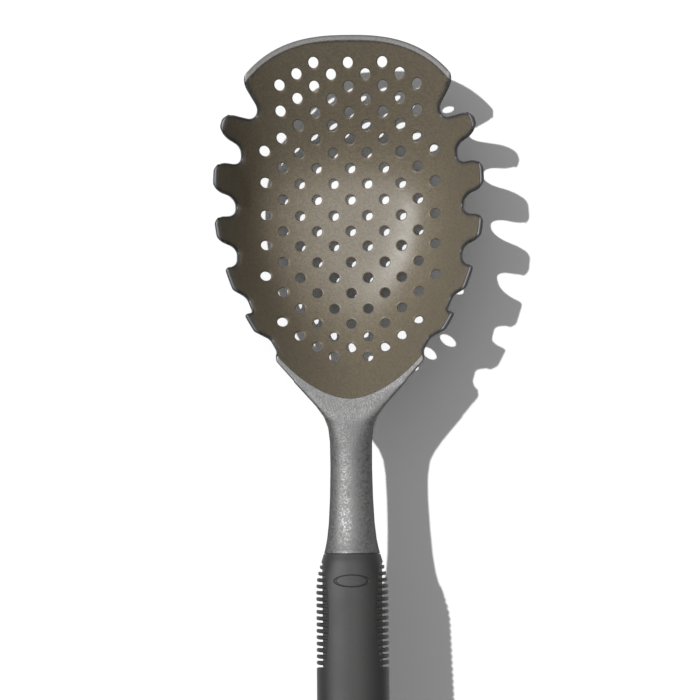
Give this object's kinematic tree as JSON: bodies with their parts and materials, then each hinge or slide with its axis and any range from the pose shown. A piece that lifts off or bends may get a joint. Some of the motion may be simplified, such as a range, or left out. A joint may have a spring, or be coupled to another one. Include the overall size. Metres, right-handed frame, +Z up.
{
  "type": "pasta scoop",
  "caption": "Pasta scoop with a deep toothed and drilled oval bowl, a moulded neck and a soft finned grip with a hang hole.",
  "frame": {"origin": "on the small stand flat under the bowl, in the solid web between two drain holes, at the level the scoop rests on", "axes": "+Y from the grip towards the lip, +Z up with the scoop lying at rest, +X to the right"},
  "size_m": [0.1174, 0.3403, 0.0619],
  "materials": {
    "nylon": "warm dark grey glass-filled nylon, satin inside the bowl and fine-grained on the rim and neck",
    "core_plastic": "black rigid plastic, hidden inside the grip",
    "grip_rubber": "matte charcoal soft grip rubber"
  },
  "bodies": {
    "root": {"scoop_body": "nylon", "handle_core": "core_plastic", "grip_sleeve": "grip_rubber"}
  },
  "joints": []
}
